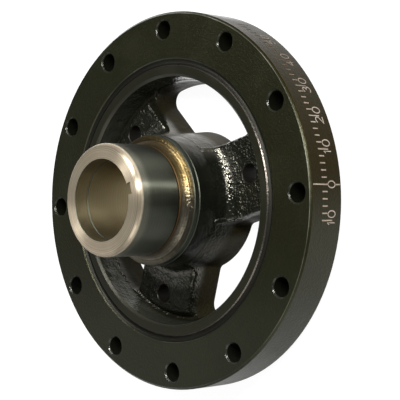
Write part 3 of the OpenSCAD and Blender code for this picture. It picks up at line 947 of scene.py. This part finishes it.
# The casting with all that is turned and bored in it, as one closed mesh of grids
def makeHub(sizes, counts):
    rows, turn, castRows = sectorRows(sizes, counts, troughSection(sizes))
    mirrored = rows[:, -2:0:-1] * [1, -1, 1]  # the far half, mirrored in the window's middle line
    whole = np.concatenate([rows, turnPoints(mirrored, sector)], axis=1)
    cast = np.arange(len(rows) - 1) < castRows
    slots = np.repeat(np.where(cast, slotOf["castEnamel"], slotOf["blackMachined"]), whole.shape[1])
    grids = turnedCopies(whole, slots, sizes) + boltGrids(sizes, counts)
    innerCount = counts["bore"] + counts["keySide"] + counts["keyFloor"]
    grids += noseGrids(sizes, ringAngles(turn[innerCount::-1], sizes))
    grids += rimGrids(sizes, ringAngles(turn[-counts["rim"]:], sizes))
    piece = meshFromGrids("spokedHub", grids, hubMaterials.values(), sizes["sharpDegrees"])
    roughenHub(piece, sizes)
    return piece


spokedHub = makeHub(hubSizes, hubGrid)
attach(spokedHub, "root")
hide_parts("hub")
print("stage: hub")

elastomerSizes = {
    "innerRadius": 59.5, "outerRadius": 61.9, "low": 4.5, "high": 23.0,
    "dip": 0.8, "dipPower": 0.7,  # a power under 1 makes the dip's floor flatter
    "flash": 0.12, "flashPlaces": (0.16, 0.84), "flashWidth": 0.05,
    "wander": 0.12, "wanderWaves": ((7, 1.0, 0.6), (17, 2.2, 0.4)),  # waves round the ring, phase, share
    "columns": 240, "across": 17, "wallRows": 12, "sharpDegrees": 40,
}
rubberFinish = {
    "dark": (0.0010, 0.0011, 0.0007), "light": (0.0026, 0.0027, 0.0017), "roughness": 0.5,
    "radial": 900.0, "axial": 900.0, "depth": 0.00003, "specular": 0.22,
}


# The elastomer between the rim and the ring: its sides are the bonded walls, and each end dips
# between the metal edges in a half wave, with a thin line of flash beside each wall. The dip
# wanders a little round the ring.
def makeElastomer(sizes):
    angles = np.arange(sizes["columns"]) * 360.0 / sizes["columns"]
    across = np.linspace(0, 1, sizes["across"])
    radius = sizes["innerRadius"] + (sizes["outerRadius"] - sizes["innerRadius"]) * across
    dip = sizes["dip"] * np.sin(np.pi * across) ** sizes["dipPower"]
    for place in sizes["flashPlaces"]:
        dip -= sizes["flash"] * np.exp(-((across - place) / sizes["flashWidth"]) ** 2)
    count = sizes["wallRows"]
    wall = np.linspace(sizes["low"], sizes["high"], count)
    upper = np.column_stack([radius, sizes["high"] - dip])
    lower = np.column_stack([radius[::-1], sizes["low"] + dip[::-1]])
    inner = np.column_stack([np.full(count, sizes["innerRadius"]), wall])
    outer = np.column_stack([np.full(count, sizes["outerRadius"]), wall[::-1]])
    rows = lathe(np.vstack([inner[:-1], upper[:-1], outer[:-1], lower]), angles)
    a = np.radians(angles)
    uneven = sum(share * np.sin(waves * a + phase) for waves, phase, share in sizes["wanderWaves"])
    still = np.zeros(count - 1)
    depth = np.concatenate([still, -dip[:-1], still, dip[::-1]]) / sizes["dip"]
    rows[..., 2] += depth[:, None] * (sizes["wander"] * uneven)
    rubber = makeTurned("rubber", rubberFinish)
    return meshFromGrids("bondedRubber", [(rows, 0)], [rubber], sizes["sharpDegrees"])


bondedRubber = makeElastomer(elastomerSizes)
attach(bondedRubber, "root")
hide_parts("elastomer_ring")
print("stage: elastomer")


# Distance in metres from the middle of the nearest drilling: the angle is folded into the pitch
# between two drillings, and the sides of the triangle are the radius past the drillings' circle
# and the arc at it
def makeDrillingDistance():
    group, enter, leave = newGroup(
        "drillingDistance", {"Count": 12.0, "Circle Radius": 0.075, "First Angle": 0.0419}, ("Distance",),
    )
    places = objectPlaces(group)
    angle = addMath(group, "ARCTAN2", places["y"], places["x"])
    angle = addMath(group, "SUBTRACT", angle, enter["First Angle"])
    turns = multiply(group, addMath(group, "DIVIDE", angle, 2 * np.pi), enter["Count"])
    nearest = addMath(group, "SUBTRACT", turns, addMath(group, "ROUND", turns))
    pitch = addMath(group, "DIVIDE", 2 * np.pi, enter["Count"])
    arc = multiply(group, nearest, pitch, enter["Circle Radius"])
    past = addMath(group, "SUBTRACT", places["radius"], enter["Circle Radius"])
    total = addMath(group, "ADD", multiply(group, arc, arc), multiply(group, past, past))
    feed(group, leave["Distance"], addMath(group, "SQRT", total))
    return group


upperMarkRange = (0.034, 0.062)  # the scale's paint turns darker between these two y, towards +Y
ringFinish = {
    "marks": {"Radial_Scale": 1700.0, "Axial_Scale": 1700.0}, "markDepth": 0.00002, "streak": (0.3, 0.7),
    "grain": {"Pebble_Scale": 3000.0, "Swell_Scale": 900.0}, "grainDepth": 0.00004, "grainShare": 0.5,
    "stain": {"Scale": 38.0, "Low": 0.4, "High": 0.7}, "broken": (0.1, 0.7, 0.35, 1.0),
    "paintDark": (0.0023, 0.0026, 0.0007), "paintLight": (0.0042, 0.0045, 0.0015),
    # bands of worn paint on the rear face, also a painted highlight that is weaker towards the bottom: where
    # they start and end, and how softly
    "rear": (0.0225, 0.0229), "outerEdge": (0.08156, 0.08174, 0.00008),
    "innerEdge": (0.06190, 0.06222, 0.00010), "innerShare": 0.4, "edgeHighlightAlong": (-0.035, 0.015, 0.35, 1.0),
    "mouth": (0.0041, 0.0047, 0.00015),
    "edgeWearAndHighlight": 0.55, "mouthWear": 0.03, "wornEdgeHighlight": (0.19, 0.19, 0.15),
    "inside": {"drilling": (0.0044, 0.0040), "height": (0.0232, 0.0222)}, "insideShare": 0.7,
    "hole": (0.004, 0.004, 0.003),
    # the scale's side of the outer face is browner, and its lower side a lighter grey: a painted reflection
    # of the floor
    "rustMask": {"radius": (0.0820, 0.0823), "y": (-0.030, 0.020), "x": (0.0, 0.04)},
    "rust": (0.0092, 0.0064, 0.0008),
    "lowerSheenMask": {"radius": (0.0820, 0.0823, 0.3, 1.0), "y": (-0.02, -0.06)}, "lowerSideGrey": (0.0135, 0.0145, 0.0115),
    "cutRadius": (0.0822, 0.08242, 0.00003), "cutHeight": (0.0053, 0.0222, 0.00005), "cutRoughness": 0.25,
    "markPaint": (0.25, 0.205, 0.165), "upperMarkPaint": (0.085, 0.058, 0.040),
    "roughness": (0.31, 0.39), "mouthGloss": (0.0048, 0.0047, 0.0, 0.12),
    "dullMouth": (0.0043, 0.0040), "dull": 0.12, "specular": (0.0, 0.06, 0.35, 0.28),
    "paintTint": (0.98, 0.97, 0.60), "bareTint": (1.0, 1.0, 1.0),
}


# Satin paint on a turned ring, worn bright along its turned edges and at the drillings' mouths, with pale
# paint in the cut marks. The edges' bright line is also a painted highlight, weaker towards the bottom
def makeRingPaint(finish):
    material, tree, shader = newMaterial("ringPaint")
    marks = addGroup(tree, turning, **finish["marks"])
    stain = addGroup(tree, patches, **finish["stain"])["Mask"]
    grain = addGroup(tree, castGrain, **finish["grain"])
    places = objectPlaces(tree)
    places["drilling"] = addGroup(tree, makeDrillingDistance())["Distance"]
    radius, height, y, drilling = (places[label] for label in ("radius", "height", "y", "drilling"))
    rear = addRange(tree, height, *finish["rear"])
    innerEdge = multiply(tree, addBand(tree, radius, *finish["innerEdge"]), finish["innerShare"])
    edge = addMath(tree, "MAXIMUM", addBand(tree, radius, *finish["outerEdge"]), innerEdge)
    broken = multiply(tree, rear, addRange(tree, stain, *finish["broken"]))
    edge = multiply(tree, edge, broken, addRange(tree, y, *finish["edgeHighlightAlong"]))
    mouth = multiply(tree, addBand(tree, drilling, *finish["mouth"]), rear)
    mouthWear = multiply(tree, mouth, finish["mouthWear"])
    wearAndEdgeHighlight = addMath(tree, "MAXIMUM", multiply(tree, edge, finish["edgeWearAndHighlight"]), mouthWear)
    rusty = addMask(tree, places, finish["rustMask"])
    inside = multiply(tree, addMask(tree, places, finish["inside"]), finish["insideShare"])
    cut = addBand(tree, radius, *finish["cutRadius"])
    cut = multiply(tree, cut, addBand(tree, height, *finish["cutHeight"]))
    markPaint = addMix(tree, addRange(tree, y, *upperMarkRange), finish["markPaint"], finish["upperMarkPaint"])
    streak = addRange(tree, marks["Streak"], *finish["streak"])
    colour = addMix(tree, streak, finish["paintDark"], finish["paintLight"])
    for mask, tint in (
        (multiply(tree, grain["Grains"], finish["grainShare"]), finish["paintLight"]),
        (rusty, finish["rust"]),
        (addMask(tree, places, finish["lowerSheenMask"]), finish["lowerSideGrey"]),
        (wearAndEdgeHighlight, finish["wornEdgeHighlight"]),
        (inside, finish["hole"]),
        (cut, markPaint),
    ):
        colour = addMix(tree, mask, colour, tint)
    feed(tree, shader.inputs["Base Color"], colour)
    rough = addMath(tree, "SUBTRACT", addRange(tree, stain, 0.0, 1.0, *finish["roughness"]),
                    addRange(tree, drilling, *finish["mouthGloss"]))
    rough = addMath(tree, "ADD", rough, multiply(tree, cut, finish["cutRoughness"]))
    feed(tree, shader.inputs["Roughness"], rough)
    dull = addMath(tree, "MAXIMUM", rusty, addRange(tree, drilling, *finish["dullMouth"]))
    shine = addRange(tree, places["x"], *finish["specular"])
    shine = multiply(tree, addRange(tree, dull, 0.0, 1.0, 1.0, finish["dull"]), shine)
    feed(tree, shader.inputs["Specular IOR Level"], shine)
    bare = addMath(tree, "MAXIMUM", edge, mouth)
    feed(tree, shader.inputs["Specular Tint"], addMix(tree, bare, finish["paintTint"], finish["bareTint"]))
    first = addBump(tree, shader, marks["Height"], finish["markDepth"])
    addBump(tree, shader, grain["Height"], finish["grainDepth"], first)
    return material


ringPaint = makeRingPaint(ringFinish)
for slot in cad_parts["inertia_ring"].material_slots:
    slot.material = ringPaint
print("stage: ring")

figureSizes = {
    "radius": 82.5, "under": 82.42, "over": 82.53, "stroke": 0.44, "width": 2.7, "height": 4.4, "low": 8.6,
    "zeroAngle": 4.5, "oneShift": -0.9, "tensShift": -1.3, "onesShift": 1.75,  # degrees round the ring
    "leastBisector": 0.3, "leastCosine": 0.6,  # hold a bead's corners back at a sharp bend
    "marked": (-10, 10, 20, 30, 40, 50), "sharpDegrees": 30,
}
figureFinish = {
    "dark": (0.17, 0.138, 0.112), "light": (0.27, 0.22, 0.18), "roughness": 0.6, "axial": 4000.0,
    "upperPair": ((0.06, 0.040, 0.028), (0.095, 0.066, 0.046)), "upperFrom": upperMarkRange,
}


# Strokes of a figure, as corner points in a box 1 wide and 1 high
def figureStrokes(figure):
    oval = arcPoints(0.5, 0.5, 0.5, 90, -270, 25)
    hook = arcPoints(0, 0, 1, 160, -50, 12)
    lower = arcPoints(0, 0, 1, 80, -160, 12)
    strokes = {
        "0": [oval],
        "1": [[[0.35, 0.78], [0.62, 1.0], [0.62, 0.0]]],
        "2": [np.vstack([[0.5, 0.72] + hook * [0.46, 0.28], [[0.0, 0.0], [1.0, 0.0]]])],
        "3": [np.vstack([[0.45, 0.75] + hook[:10] * [0.42, 0.25], [[0.42, 0.53]]]),
              [0.45, 0.27] + lower * [0.5, 0.27]],
        "4": [[[0.68, 0.0], [0.68, 1.0], [0.0, 0.32], [1.0, 0.32]]],
        "5": [np.vstack([[[0.9, 1.0], [0.15, 1.0], [0.1, 0.55]], [0.48, 0.31] + lower * [0.46, 0.31]])],
    }
    return [np.array(stroke) for stroke in strokes[figure]]


# A stroke as a thin raised bead on the ring's outer face: a flat four-cornered section is carried
# along the stroke's points, each corner set off along the joint's bisector, and the bead is bent
# round the axis (arc = distance over radius). The ends of an open bead are drawn together.
def strokeRows(stroke, middleAngle, sizes):
    points = stroke * [sizes["width"], sizes["height"]] - [sizes["width"] / 2, 0]
    step = np.diff(points, axis=0)
    step /= np.hypot(step[:, 0], step[:, 1])[:, None]
    before, after = np.vstack([step[:1], step]), np.vstack([step, step[-1:]])
    ring = np.allclose(points[0], points[-1], atol=1e-6)
    if ring:
        before[0], after[-1] = step[-1], step[0]
    bisector = before + after
    bisector /= np.maximum(np.hypot(bisector[:, 0], bisector[:, 1]), sizes["leastBisector"])[:, None]
    side = np.column_stack([-bisector[:, 1], bisector[:, 0]])
    cosine = (side * np.column_stack([-before[:, 1], before[:, 0]])).sum(axis=1)
    stretch = 1 / np.clip(cosine, sizes["leastCosine"], 1)
    reach = side * (sizes["stroke"] / 2 * stretch)[:, None]
    left, right, under, over = points + reach, points - reach, sizes["under"], sizes["over"]
    corners = []
    for flat, radius in ((left, under), (left, over), (right, over), (right, under)):
        angle, height = np.radians(middleAngle) + flat[:, 0] / sizes["radius"], sizes["low"] + flat[:, 1]
        corners.append(np.column_stack([radius * np.cos(angle), radius * np.sin(angle), height]))
    rows = np.stack(corners, axis=1)
    if ring:
        return rows
    ends = [row.mean(axis=1, keepdims=True) + 0 * row for row in (rows[:1], rows[-1:])]
    return np.concatenate([ends[0], rows, ends[1]])


# The figure 0 at the zero line, and two figures at each of the marked lines
def makeFigures(sizes):
    placed = [("0", sizes["zeroAngle"])]
    for value in sizes["marked"]:
        angle, figure = sizes["zeroAngle"] + value, str(abs(value) // 10)
        shift = sizes["oneShift"] if figure == "1" else sizes["tensShift"]
        placed += [(figure, angle + shift), ("0", angle + sizes["onesShift"])]
    strokes = [(stroke, angle) for figure, angle in placed for stroke in figureStrokes(figure)]
    grids = [(strokeRows(stroke, angle, sizes), 0) for stroke, angle in strokes]
    markPaint = makeTurned("markPaint", figureFinish)
    return meshFromGrids("scaleFigures", grids, [markPaint], sizes["sharpDegrees"])


scaleFigures = makeFigures(figureSizes)
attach(scaleFigures, "root")
print("stage: figures")
